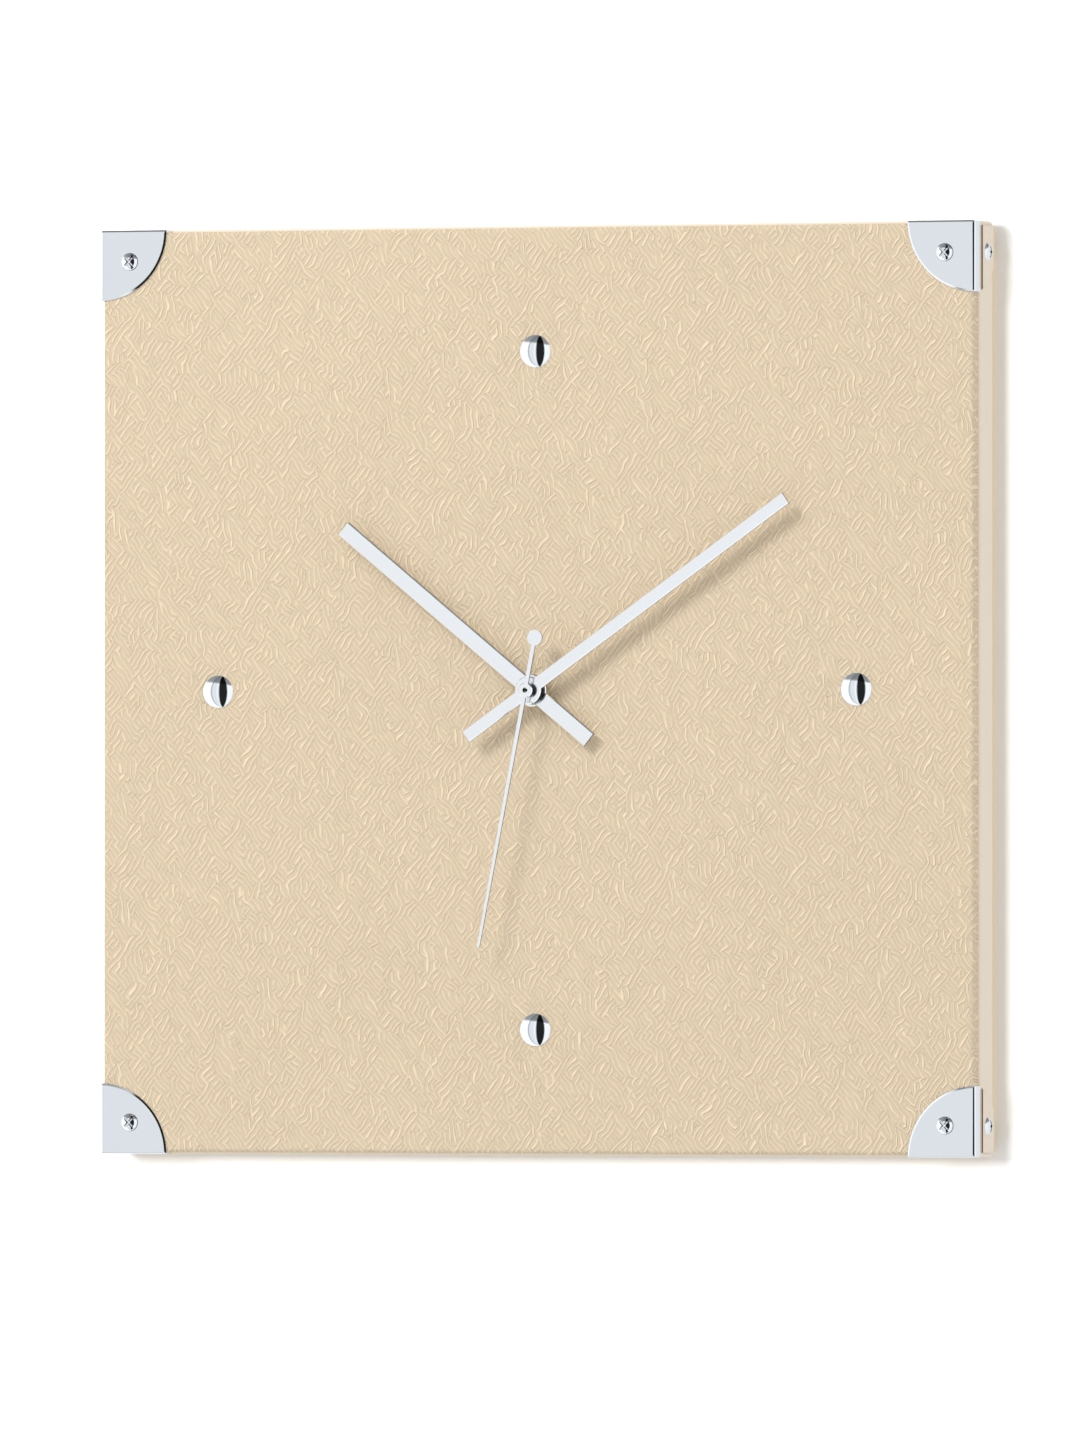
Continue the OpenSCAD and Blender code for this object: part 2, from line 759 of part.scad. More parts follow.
// ---- Movement case ----

module movement_case() {
    color("dimgray") difference() {
        union() {
            difference() {
                slab(y_mv, y_mv + mv_d) round_rect(mv_half, mv_half, mv_corner_r);
                mv_block([-mv_in, mv_in], [room_z, mv_in], [mv_floor, mv_d + 1]);
                mv_block([-mv_in, mv_in], [-mv_in, bay_top_z], [bay_floor, mv_d + 1]);
            }
            for (s = [-1, 1]) mv_block(s > 0 ? [mv_half - 0.5, mv_half + ear_w] :
                [-mv_half - ear_w, -mv_half + 0.5], [-ear_half_h, ear_half_h], [0, ear_t]);
            for (at = front_posts) mv_bar(mv_floor - eps, level_mid, pillar_r, at);
            for (at = circuit_posts) mv_bar(mv_floor - eps, board_level, post_level_r, at);
            for (at = cover_posts) mv_bar(mv_floor - eps, cover_d, cover_post_r, at);
            mv_bar(mv_floor - eps, level_centre - 0.6, third_post_r, third_at);
        }
        mv_bar(-eps, mv_floor + eps, bush_r + run_clr);
        for (s = [-1, 1]) mv_bar(-eps, ear_t + eps, shank_r + shank_clr, [s * ear_x, 0]);
        mv_bar(mv_floor - flange_t, mv_floor + eps, flange_r + run_clr);
        mv_bar(level_centre - 1.4, level_centre, pivot_hole_r, third_at);
        for (at = [motion_at, set_at]) mv_bar(mv_floor - 0.7, mv_floor + eps, pivot_hole_r, at);
        for (s = [-1, 1]) mv_block(s > 0 ? [mv_in - 0.1, mv_in + 0.6] : [-mv_in - 0.6, -mv_in + 0.1],
            [clip_z - clip_w / 2 - mv_clr, clip_z + clip_w / 2 + mv_clr],
            [cover_d + 0.1, mv_d - 0.3]);
        mv_block([-mv_in, -mv_in + 0.5], [bay_top_z - 0.1, room_z + 0.1],
            [board_level - 0.4, board_level + 2.8]);
        mv_block([mv_in - 0.5, mv_in], [bay_top_z - 0.1, room_z + 0.1],
            [level_bridge + bridge_t + 0.1, cover_d - 0.7]);
    }
}

module movement_cover() {
    color("gray") difference() {
        union() {
            mv_block([-mv_in + mv_clr, mv_in - mv_clr], [room_z + mv_clr, mv_in - mv_clr],
                [cover_d, mv_d]);
            for (s = [-1, 1]) mv_block(s > 0 ? [mv_in - 1, mv_in + 0.4] : [-mv_in - 0.4, -mv_in + 1],
                [clip_z - clip_w / 2, clip_z + clip_w / 2], [cover_d + 0.2, mv_d - 0.4]);
        }
        mv_bar(cover_d - eps, mv_d + eps, set_shaft_r + run_clr, set_at);
    }
}

module centre_bushing() {
    color(BRASS) difference() {
        union() {
            bar(y_bush, y_mv + mv_floor, bush_r);
            mv_bar(mv_floor - flange_t, mv_floor, flange_r);
        }
        bar(y_bush - eps, y_mv + mv_floor + eps, bush_bore_r);
    }
}

module movement_screws() {
    color(STEEL) for (s = [-1, 1]) {
        at = [s * ear_x, 0];
        difference() {
            union() {
                translate([at[0], y_mv + ear_t, at[1]]) rotate([-90, 0, 0]) rotate_extrude()
                    polygon([[0, 0], [panel_head_r, 0], for (i = [1 : 6])
                        [panel_head_r * cos(i * 15), panel_head_h * sin(i * 15)]]);
                mv_bar(ear_t - ear_screw_len, ear_t + eps, shank_r, at);
            }
            translate([at[0], y_mv + ear_t + panel_head_h, at[1]]) for (turn = [0, 90])
                rotate([0, turn, 0]) cube([panel_head_r * 1.2, 1.2, 0.7], center = true);
        }
    }
}

// ---- Hands and their arbors ----

// Baton along +Z from -tail to len with bevelled front edges, front at depth y
module baton(len, tail, w, t, y) {
    translate([0, y, -tail]) linear_extrude(len + tail) polygon([[-w / 2, t], [w / 2, t],
        [w / 2, hand_bevel], [w / 2 - hand_bevel, 0], [-w / 2 + hand_bevel, 0],
        [-w / 2, hand_bevel]]);
}

// Hub with a bevelled front rim, its front on depth y and its collar running back
module hub(r, depth, y) {
    turned(y + depth) polygon([[0, 0], [r - 0.3, 0], [r - 0.3, depth - hand_t], [r, depth - hand_t],
        [r, depth - hand_bevel], [r - hand_bevel, depth], [0, depth]]);
}

module hour_hand() {
    color(STEEL) rotate([0, hour_angle, 0]) difference() {
        union() {
            baton(hour_len, hour_tail, hour_w, hand_t, y_hour_front);
            hub(hour_hub_r, hour_hub_d, y_hour_front);
        }
        bar(y_hour_front - eps, y_hour_front + hour_hub_d + eps, hour_pipe_r);
    }
}

module minute_hand() {
    color(STEEL) rotate([0, minute_angle, 0]) difference() {
        union() {
            baton(minute_len, minute_tail, minute_w, hand_t, y_minute_front);
            hub(minute_hub_r, minute_hub_d, y_minute_front);
        }
        bar(y_minute_front - eps, y_minute_front + minute_hub_d + eps, minute_pipe_r);
        bar(y_hour_front - pipe_show - hub_clr, y_hour, hour_pipe_r + hub_clr);
    }
}

module second_hand() {
    color(STEEL) rotate([0, second_angle, 0]) difference() {
        union() {
            slab(y_second_front, y_second) polygon([[-second_w / 2, -second_tail],
                [second_w / 2, -second_tail], [second_w / 2, 0], [second_tip_w / 2, second_len],
                [-second_tip_w / 2, second_len], [-second_w / 2, 0]]);
            bar(y_second_front, y_second, second_disc_r, [0, -second_tail]);
            hub(second_hub_r, second_hub_d, y_second_front);
        }
        bar(y_second_front - eps, y_second_front + second_hub_d + eps, arbor_r);
        bar(y_second_front - eps, y_second_front + second_hole_d, second_hole_r);
        bar(y_minute_front - pipe_show - hub_clr, y_second_front + second_hub_d + eps,
            minute_pipe_r + hub_clr);
    }
}

module hour_wheel() {
    color("ivory") difference() {
        union() {
            bar(y_hour_front - pipe_show, y_mv + level_hour + eps, hour_pipe_r);
            gear(z_hour, m_hour, hour_phase, wheel_tooth, level_hour, level_hour + hour_gear_t);
        }
        bar(y_hour_front - 1, y_mv + level_hour + hour_gear_t + 1, hour_bore_r);
    }
}

module minute_arbor() {
    color(BRASS) difference() {
        union() {
            bar(y_minute_front - pipe_show, y_mv + level_mid - 0.1, minute_pipe_r);
            gear(z_cannon, m_motion, 0, pinion_tooth, level_cannon, level_centre - 0.5);
        }
        bar(y_minute_front - 1, y_mv + level_mid + 1, minute_bore_r);
    }
}

module seconds_arbor() {
    color(STEEL) {
        bar(y_second_front + second_hole_d, y_mv + level_bridge - 0.3, arbor_r);
        mv_bar(level_bridge - 0.3 - eps, level_bridge + bridge_t - 0.2, pivot_r);
    }
}

module seconds_wheel() {
    color("ivory") difference() {
        union() {
            gear(z_seconds, m_seconds, 0, wheel_tooth, level_seconds, level_seconds + wheel_t);
            gear(z_seconds_pinion, m_fine, 0, pinion_tooth, level_third - 0.1,
                level_seconds + eps);
            mv_bar(level_seconds, level_bridge - 0.4, 1);
        }
        mv_bar(level_third - 1, level_bridge, arbor_r);
    }
}

module centre_wheel() {
    color("ivory") difference() {
        union() {
            gear(z_centre, m_centre, centre_phase, wheel_tooth, level_centre,
                level_centre + wheel_t);
            mv_bar(level_centre - 0.4, level_centre + eps, 3);
        }
        mv_bar(level_centre - 1, level_mid, hour_bore_r);
    }
}

// Arbor with a pivot at each end, body from depth d0 to d1
module arbor(d0, d1, at) {
    pivot_len = 0.5;
    mv_bar(d0, d1, arbor_r, at);
    mv_bar(d0 - pivot_len, d1 + pivot_len, pivot_r, at);
}

module third_wheel() {
    color("ivory") {
        arbor(level_centre - 0.4, level_bridge - 0.1, third_at);
        gear(z_third_pinion, m_centre, 0, pinion_tooth, level_centre - 0.1,
            level_centre + wheel_t + 0.1, third_at);
        gear(z_third, m_fine, third_phase, wheel_tooth, level_third, level_third + wheel_t,
            third_at);
    }
}

module intermediate_wheel() {
    color("ivory") {
        arbor(level_mid + mid_t + 0.1, level_bridge - 0.1, inter_at);
        gear(z_inter_pinion, m_seconds, inter_phase, pinion_tooth, level_seconds - 0.1,
            level_inter + eps, inter_at);
        gear(z_inter, m_fine, 0, wheel_tooth, level_inter, level_inter + wheel_t, inter_at);
    }
}

module rotor_pinion() {
    color("ivory") {
        arbor(level_mid + mid_t + 0.1, level_bridge - 0.1, rotor_at);
        gear(z_rotor_pinion, m_fine, rotor_phase, pinion_tooth, level_inter - 0.1,
            level_inter + wheel_t + 0.1, rotor_at);
    }
}

module rotor_magnet() {
    color("darkslategray") difference() {
        mv_bar(level_rotor, level_rotor + rotor_h, rotor_r, rotor_at);
        mv_bar(level_rotor - eps, level_rotor + rotor_h + eps, arbor_r, rotor_at);
    }
}

module motion_wheel() {
    color("ivory") {
        arbor(mv_floor + 0.1, level_mid - 0.1, motion_at);
        gear(z_motion_pinion, m_hour, 0, pinion_tooth, level_hour, level_cannon + eps, motion_at);
        gear(z_motion, m_motion, motion_phase, wheel_tooth, level_cannon, level_cannon + 1,
            motion_at);
    }
}

module set_pinion() {
    color("ivory") {
        mv_bar(mv_floor + 0.1, mv_d + knob_gap + knob_t - 0.1, set_shaft_r, set_at);
        mv_bar(mv_floor - 0.4, mv_floor + 0.2, pivot_r, set_at);
        gear(z_set, m_motion, set_phase, pinion_tooth, level_cannon, level_cannon + 1.2, set_at);
    }
}

module set_knob() {
    flutes = 24;
    color("white") difference() {
        translate([set_at[0], 0, set_at[1]]) slab(y_mv + mv_d + knob_gap,
            y_mv + mv_d + knob_gap + knob_t)
            polygon([for (i = [0 : flutes - 1], p = [[0, 0], [0.3, 0.35], [0.7, 0.35], [1, 0]])
                polar(knob_r - p[1], (i + p[0] * 0.8) * 360 / flutes)]);
        mv_bar(mv_d, mv_d + knob_gap + knob_t + 1, set_shaft_r, set_at);
    }
}

// ---- Plates, motor and circuit ----

module mid_plate() {
    color("whitesmoke") difference() {
        union() {
            mv_block(mid_x, mid_z, [level_mid, level_mid + mid_t]);
            for (at = pillars) mv_bar(level_mid + mid_t - eps, level_bridge, pillar_r, at);
        }
        mv_bar(level_mid - eps, level_mid + mid_t + eps, minute_bore_r);
        mv_bar(level_mid - eps, level_mid + mid_t + eps, third_window_r, third_at);
        for (at = [inter_at, rotor_at, motion_at])
            mv_bar(level_mid - eps, level_mid + mid_t + eps, pivot_hole_r, at);
        mv_bar(level_mid - eps, level_mid + mid_t + eps, set_shaft_r + run_clr, set_at);
        mv_block([-30, circuit_x[1] + 0.2], [circuit_z[0] - 0.2, 30],
            [level_mid - eps, level_mid + mid_t + eps]);
        for (i = [0, 3]) mv_bar(level_bridge - bridge_grip, level_bridge + eps,
            bridge_shank_r, pillars[i]);
    }
}

bridge_shank_r = 0.6;
bridge_grip = 2.5;
bridge_head_r = 1.3;
bridge_head_h = 0.8;

module train_bridge() {
    color("whitesmoke") difference() {
        mv_block(bridge_x, bridge_z, [level_bridge, level_bridge + bridge_t]);
        for (at = [dial_at, third_at, inter_at, rotor_at])
            mv_bar(level_bridge - eps, level_bridge + bridge_t + eps, pivot_hole_r, at);
        for (i = [0, 3]) mv_bar(level_bridge - eps, level_bridge + bridge_t + eps,
            bridge_shank_r, pillars[i]);
    }
}

module bridge_screws() {
    top = level_bridge + bridge_t;
    color(STEEL) for (i = [0, 3]) difference() {
        union() {
            mv_bar(top, top + bridge_head_h, bridge_head_r, pillars[i]);
            mv_bar(level_bridge - bridge_grip, top + eps, bridge_shank_r, pillars[i]);
        }
        mv_block(around(pillars[i][0], 2), around(pillars[i][1], 0.2),
            [top + bridge_head_h / 2, top + bridge_head_h + 1]);
    }
}

module stator() {
    color(STEEL) difference() {
        union() {
            mv_block([-core_half, core_half], stator_z, [level_stator, level_core]);
            for (s = [-1, 1]) mv_block(s > 0 ? [leg_in, core_half] : [-core_half, -leg_in],
                [stator_z[0], coil_z + core_w / 2], [level_stator, level_core]);
        }
        mv_bar(level_stator - eps, level_core + eps, rotor_r + 0.3, rotor_at);
    }
}

module coil_core() {
    color(STEEL) mv_block([-core_half, core_half], around(coil_z, core_w / 2),
        [level_core, level_core + core_t]);
}

// Bar along X at the coil's middle
module coil_bar(x0, x1, r) {
    translate([x0, y_mv + coil_d, coil_z]) rotate([0, 90, 0]) cylinder(h = x1 - x0, r = r);
}

module coil_bobbin() {
    end = coil_half + coil_flange_t;
    color("white") difference() {
        union() {
            coil_bar(-end, end, barrel_r);
            for (s = [-1, 1]) coil_bar(s > 0 ? coil_half : -end, s > 0 ? end : -coil_half,
                coil_flange_r);
        }
        mv_block([-end - 1, end + 1], around(coil_z, core_w / 2),
            [level_core, level_core + core_t]);
    }
}

module coil_winding() {
    color("chocolate") difference() {
        coil_bar(-coil_half, coil_half, coil_r);
        coil_bar(-coil_half - 1, coil_half + 1, barrel_r);
    }
}

module circuit_board() {
    color("darkgreen") mv_block(circuit_x, circuit_z, [board_level, board_level + circuit_t]);
}

module quartz_crystal() {
    color(STEEL) translate([circuit_mid_x, y_mv + board_level + circuit_t + crystal_r, crystal_z])
        cylinder(h = crystal_len, r = crystal_r);
}

module driver_chip() {
    color("black") translate([circuit_mid_x, y_mv + board_level + circuit_t, chip_z])
        rotate([-90, 0, 0]) rotate_extrude() polygon([[0, 0], [chip_r, 0],
            for (i = [1 : 6]) [chip_r * cos(i * 15), chip_h * sin(i * 15)]]);
}

module battery() {
    button_r = 2.7;
    button_h = 1;
    color("slategray") translate([-cell_len / 2 - button_h / 2, y_mv + cell_d, cell_z])
        rotate([0, 90, 0]) rotate_extrude() polygon([[0, 0], [cell_r - 0.6, 0], [cell_r, 0.6],
            [cell_r, cell_len - 0.6], [cell_r - 0.6, cell_len], [button_r, cell_len],
            [button_r, cell_len + button_h], [0, cell_len + button_h]]);
}

module battery_spring() {
    inner = -mv_in + strip_t;
    cell_end = -cell_len / 2 - 0.5;
    color(STEEL) {
        mv_block([-mv_in, inner], around(cell_z, strip_h / 2), strip_d);
        mv_block([-mv_in, inner], [cell_z + strip_h / 2 - 1, circuit_z[0] + arm_w], arm_d);
        mv_block([-mv_in, circuit_x[0] + arm_w], [circuit_z[0], circuit_z[0] + arm_w], tab_d);
        translate([0, y_mv + cell_d, cell_z - spring_w / 2]) linear_extrude(spring_w)
            polygon([[inner - eps, -spring_rise], [cell_end, -spring_tip],
                [cell_end, spring_tip], [inner - eps, spring_rise],
                [inner - eps, spring_rise - spring_tip], [cell_end - strip_t, spring_tip - 0.2],
                [cell_end - strip_t, 0.2 - spring_tip], [inner - eps, spring_tip - spring_rise]]);
    }
}

module battery_contact() {
    color(STEEL) {
        mv_block([mv_in - strip_t, mv_in], around(cell_z, strip_h / 2), strip_d);
        mv_block([mv_in - strip_t, mv_in], [cell_z + strip_h / 2 - 1, room_z + strip_t], run_d);
        mv_block([tab_x[0], mv_in], [room_z, room_z + strip_t], run_d);
        mv_block(tab_x, [room_z, room_z + strip_t], [tab_d[0], run_d[1]]);
        mv_block(tab_x, [room_z, circuit_z[0] + arm_w], tab_d);
    }
}

face_board();
face_cover();
left_stile();
right_stile();
top_rail();
bottom_rail();
side_band();
rear_frame();
rear_panel();
wall_pads();
corner_cap_top_left();
corner_cap_top_right();
corner_cap_bottom_left();
corner_cap_bottom_right();
cap_screws();
side_screws();
panel_screws();
hour_stud_12();
hour_stud_3();
hour_stud_6();
hour_stud_9();
stud_washers();
hanger_plate();
hanger_rivets();
movement_case();
movement_cover();
centre_bushing();
movement_screws();
hour_wheel();
hour_hand();
minute_arbor();
minute_hand();
seconds_arbor();
seconds_wheel();
second_hand();
centre_wheel();
third_wheel();
intermediate_wheel();
rotor_pinion();
rotor_magnet();
motion_wheel();
set_pinion();
set_knob();
mid_plate();
train_bridge();
bridge_screws();
stator();
coil_core();
coil_bobbin();
coil_winding();
circuit_board();
quartz_crystal();
driver_chip();
battery();
battery_spring();
battery_contact();
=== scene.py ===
"""Studio scene of a square wall clock: leatherette dial board, chromed caps and studs, silver hands.

The row frame has +Z up, the dial facing -Y and the wall on y = 0. Everything is in metres.
"""

import math

import bmesh
import bpy
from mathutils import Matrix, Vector


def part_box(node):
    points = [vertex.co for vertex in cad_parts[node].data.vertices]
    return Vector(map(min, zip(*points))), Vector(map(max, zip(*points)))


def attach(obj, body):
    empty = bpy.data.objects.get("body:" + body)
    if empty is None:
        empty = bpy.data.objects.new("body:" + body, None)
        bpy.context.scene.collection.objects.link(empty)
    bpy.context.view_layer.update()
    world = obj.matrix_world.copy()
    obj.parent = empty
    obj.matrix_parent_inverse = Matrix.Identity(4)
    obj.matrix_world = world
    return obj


MM = 0.001
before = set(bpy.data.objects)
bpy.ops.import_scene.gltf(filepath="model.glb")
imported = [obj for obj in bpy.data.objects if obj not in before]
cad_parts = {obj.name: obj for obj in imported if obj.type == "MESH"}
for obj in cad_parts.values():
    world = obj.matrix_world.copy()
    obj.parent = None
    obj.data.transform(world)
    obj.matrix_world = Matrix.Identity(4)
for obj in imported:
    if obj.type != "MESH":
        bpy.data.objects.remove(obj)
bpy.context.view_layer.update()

scene = bpy.context.scene
scene.view_settings.view_transform = "Standard"

# ---------------------------------------------------------------- helpers


def srgb(r, g, b):
    """Linear colour of an sRGB colour given from 0 to 255."""

    def line(v):
        v /= 255
        return v / 12.92 if v <= 0.04045 else ((v + 0.055) / 1.055) ** 2.4

    return (line(r), line(g), line(b), 1.0)


def direction(azimuth, elevation):
    """Unit vector from the clock towards a place in the studio: azimuth 0 is straight in front."""
    a, e = math.radians(azimuth), math.radians(elevation)
    return Vector((math.sin(a) * math.cos(e), -math.cos(a) * math.cos(e), math.sin(e)))


class Mat:
    """A node material on one Principled shader, with short names for the nodes that it uses."""

    def __init__(self, name, colour, rough, metal=0.0, **sockets):
        self.mat = bpy.data.materials.new(name)
        self.mat.use_nodes = True
        self.tree = self.mat.node_tree
        self.bsdf = self.tree.nodes["Principled BSDF"]
        self.bsdf.inputs["Metallic"].default_value = metal
        self.colour = colour
        self.bsdf.inputs["Base Color"].default_value = colour
        self.bsdf.inputs["Roughness"].default_value = rough
        for key, value in sockets.items():
            self.bsdf.inputs[key.replace("_", " ")].default_value = value
        self.coords = self.add("TexCoord").outputs["Object"]

    def add(self, kind, **inputs):
        node = self.tree.nodes.new("ShaderNode" + kind)
        for key, value in inputs.items():
            self.set(node.inputs[key.replace("_", " ")], value)
        return node

    def set(self, socket, value):
        if isinstance(value, bpy.types.NodeSocket):
            self.tree.links.new(value, socket)
        else:
            socket.default_value = value

    def math(self, operation, a, b=0.0, c=0.0):
        node = self.add("Math")
        node.operation = operation
        for socket, value in zip(node.inputs, (a, b, c)):
            self.set(socket, value)
        return node.outputs[0]

    def vmath(self, operation, a, b):
        node = self.add("VectorMath")
        node.operation = operation
        self.set(node.inputs[0], a)
        self.set(node.inputs["Scale"] if operation == "SCALE" else node.inputs[1], b)
        return node.outputs[0]

    def noise(self, size, detail=2.0, vector=None, stretch=None, roughness=0.5):
        """Noise whose features are about size metres across, from 0 to 1."""
        at = vector or self.coords
        if stretch:
            at = self.vmath("MULTIPLY", at, stretch)
        node = self.add("TexNoise", Vector=at, Scale=1 / size, Detail=detail, Roughness=roughness)
        return node.outputs["Fac"]

    def ramp(self, value, low, high, to_low=0.0, to_high=1.0, smooth=True):
        node = self.add("MapRange", Value=value, From_Min=low, From_Max=high,
                        To_Min=to_low, To_Max=to_high)
        node.interpolation_type = "SMOOTHSTEP" if smooth else "LINEAR"
        return node.outputs[0]

    def mix(self, factor, a, b, blend="MIX"):
        node = self.add("Mix")
        node.data_type = "RGBA"
        node.blend_type = blend
        self.set(node.inputs["Factor"], factor)
        self.set(node.inputs["A"], a)
        self.set(node.inputs["B"], b)
        return node.outputs["Result"]

    def shade(self, factor, amount, colour=None):
        """The base colour, darker or lighter by amount as factor goes from 0 to 1."""
        base = colour or self.colour
        dark = tuple(v * (1 - amount) for v in self.colour[:3]) + (1.0,)
        light = tuple(v * (1 + amount) for v in self.colour[:3]) + (1.0,)
        tone = self.mix(factor, dark, light)
        if colour is None:
            return tone
        grey = self.mix(factor, (1 - amount,) * 3 + (1.0,), (1 + amount,) * 3 + (1.0,))
        return self.mix(1.0, base, grey, "MULTIPLY")

    def bump(self, height, depth, strength=1.0, under=None):
        node = self.add("Bump", Height=height, Distance=depth, Strength=strength)
        if under is not None:
            self.set(node.inputs["Normal"], under)
        return node.outputs["Normal"]

    def facing(self, axis):
        """How squarely the surface faces along one axis, from 0 to 1."""
        normal = self.add("SeparateXYZ", Vector=self.add("NewGeometry").outputs["Normal"])
        return self.math("ABSOLUTE", normal.outputs[axis])

    def finish(self, colour=None, rough=None, normal=None):
        for key, value in (("Base Color", colour), ("Roughness", rough), ("Normal", normal)):
            if value is not None:
                self.set(self.bsdf.inputs[key], value)
        return self.mat


def paint(material, *nodes):
    """Gives CAD nodes or pieces a material in place of their own."""
    for item in nodes:
        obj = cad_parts[item] if isinstance(item, str) else item
        if not obj.material_slots:
            obj.data.materials.append(material)
        for slot in obj.material_slots:
            slot.material = material


# ---------------------------------------------------------------- camera

CAMERA_AZIMUTH = 19.9
CAMERA_ELEVATION = -0.55
CAMERA_DISTANCE = 6.4
CAMERA_LENS = 492
AIM = Vector((3.3 * MM, -24 * MM, -10.4 * MM))

camera = bpy.data.objects.new("camera", bpy.data.cameras.new("camera"))
scene.collection.objects.link(camera)
camera.data.lens = CAMERA_LENS
camera.data.sensor_width = 36
camera.data.clip_end = 100
towards_camera = direction(CAMERA_AZIMUTH, CAMERA_ELEVATION)
camera.location = AIM + CAMERA_DISTANCE * towards_camera
camera.rotation_euler = (-towards_camera).to_track_quat("-Z", "Y").to_euler()
scene.camera = camera

# ---------------------------------------------------------------- materials


def creases(m, at, turn, gap):
    """Parallel wavy creases across one direction: ridges 1 high with narrow valleys between."""
    turned = m.add("VectorRotate", Vector=at, Angle=math.radians(turn))
    turned.rotation_type = "Y_AXIS"
    across = m.add("SeparateXYZ", Vector=turned.outputs[0]).outputs["X"]
    wobble = m.math("MULTIPLY", m.noise(6 * MM, 1.0, turned.outputs[0]), 6.0)
    wave = m.math("SINE", m.math("ADD", m.math("MULTIPLY", across, 2 * math.pi / gap), wobble))
    return m.ramp(wave, -0.3, 0.7)


def leatherette(name, colour, depth=0.5 * MM):
    """Embossed leatherette: creases that cross from patch to patch, over a fine pebble grain."""
    m = Mat(name, colour, 0.5, Specular_IOR_Level=0.3)
    warp = m.add("TexNoise", Vector=m.coords, Scale=1 / (6 * MM), Detail=1.0).outputs["Color"]
    warp = m.vmath("SCALE", m.vmath("SUBTRACT", warp, (0.5, 0.5, 0.5)), 3 * MM)
    at = m.vmath("ADD", m.coords, warp)
    left = creases(m, at, 38, 1.5 * MM)
    right = creases(m, at, -36, 1.6 * MM)
    steep = creases(m, at, 8, 1.8 * MM)
    choose = m.ramp(m.noise(5 * MM, 1.0, at), 0.46, 0.54)
    crease = m.add("Mix", Factor=choose)
    m.set(crease.inputs["A"], left)
    m.set(crease.inputs["B"], right)
    choose = m.ramp(m.noise(6 * MM, 1.0, m.vmath("ADD", at, (0.3, 0.1, 0.2))), 0.6, 0.66)
    mixed = m.add("Mix", Factor=choose)
    m.set(mixed.inputs["A"], crease.outputs[0])
    m.set(mixed.inputs["B"], steep)
    crease = mixed.outputs[0]
    strong = m.ramp(m.noise(5 * MM, 2.0), 0.3, 0.6, 0.55, 1.0)
    crease = m.math("MULTIPLY", crease, strong)
    pebble = m.noise(0.4 * MM, 3.0)
    lie = m.noise(9 * MM, 2.0)
    height = m.math("ADD", m.math("MULTIPLY", crease, 0.8), m.math("MULTIPLY", pebble, 0.3))
    height = m.math("ADD", height, m.math("MULTIPLY", lie, 0.2))
    clouds = m.noise(45 * MM, 3.0)
    colour = m.shade(clouds, 0.025)
    # Painted shade in the crease valleys and painted highlight on the ridges: the colour follows the
    # crease height.
    colour = m.shade(crease, 0.12, colour)
    colour = m.shade(pebble, 0.05, colour)
    rough = m.ramp(pebble, 0.3, 0.7, 0.44, 0.58)
    return m.finish(colour, rough, m.bump(height, depth, 1.0))


def smooth_wrap(name, colour):
    """Fine-grained wrap on the frame: nearly smooth, with faint stretch marks."""
    m = Mat(name, colour, 0.45, Specular_IOR_Level=0.4)
    grain = m.noise(0.5 * MM, 3.0)
    stretch = m.noise(9 * MM, 2.0, stretch=(1, 1, 0.35))
    height = m.math("ADD", m.math("MULTIPLY", grain, 0.4), stretch)
    colour = m.shade(stretch, 0.03)
    return m.finish(colour, m.ramp(grain, 0.3, 0.7, 0.4, 0.52), m.bump(height, 0.1 * MM, 0.6))


def chrome(name, colour, rough, scratch=0.03, painted_shade_axis=None, dark=0.12, low=0.15, high=0.45,
           marked=0.25, flatten=None):
    """Plated metal with faint rubbing marks. Walls along the given axis are painted dark: painted
    shade and painted dark reflections on edges, in recesses and at rims. flatten below 1 reflects as
    a flatter dome would."""
    m = Mat(name, colour, rough, 1.0)
    marks = m.noise(0.9 * MM, 4.0)
    haze = m.noise(12 * MM, 3.0)
    rubbed = m.math("ADD", m.math("MULTIPLY", marks, scratch), m.math("MULTIPLY", haze, scratch))
    tone = m.shade(haze, 0.012)
    # Painted shade: surfaces that turn away from the given axis take a darker colour, standing in for
    # shade and dark reflections.
    if painted_shade_axis:
        flat = m.ramp(m.facing(painted_shade_axis), low, high)
        tone = m.mix(flat, tuple(v * dark for v in colour[:3]) + (1.0,), tone)
    under = None
    if flatten:
        under = m.vmath("NORMALIZE", m.vmath("MULTIPLY", m.add("NewGeometry").outputs["Normal"],
                                             (flatten, 1, flatten)), (0, 0, 0))
    return m.finish(tone, m.math("ADD", rubbed, max(rough - scratch, 0.0)),
                    m.bump(marks, 0.004 * MM, marked, under))


def plastic(name, colour, rough, grain=0.35 * MM, depth=0.02 * MM):
    """Moulded plastic with a fine spark-eroded texture and slightly worn, greyer high spots."""
    m = Mat(name, colour, rough)
    fine = m.noise(grain, 2.0)
    flow = m.noise(14 * MM, 3.0)
    return m.finish(m.shade(flow, 0.06), m.ramp(fine, 0.3, 0.7, rough - 0.06, rough + 0.08),
                    m.bump(fine, depth, 0.5))


def wood(name, colour, fibre, depth=0.08 * MM):
    """Fibreboard or softwood: long fibres along one axis, given as a stretch of the coordinates."""
    m = Mat(name, colour, 0.75)
    grain = m.noise(1.1 * MM, 4.0, stretch=fibre)
    speck = m.noise(0.6 * MM, 2.0)
    tone = m.shade(grain, 0.16)
    tone = m.shade(speck, 0.08, tone)
    return m.finish(tone, m.ramp(speck, 0.3, 0.7, 0.68, 0.85), m.bump(grain, depth, 0.6))


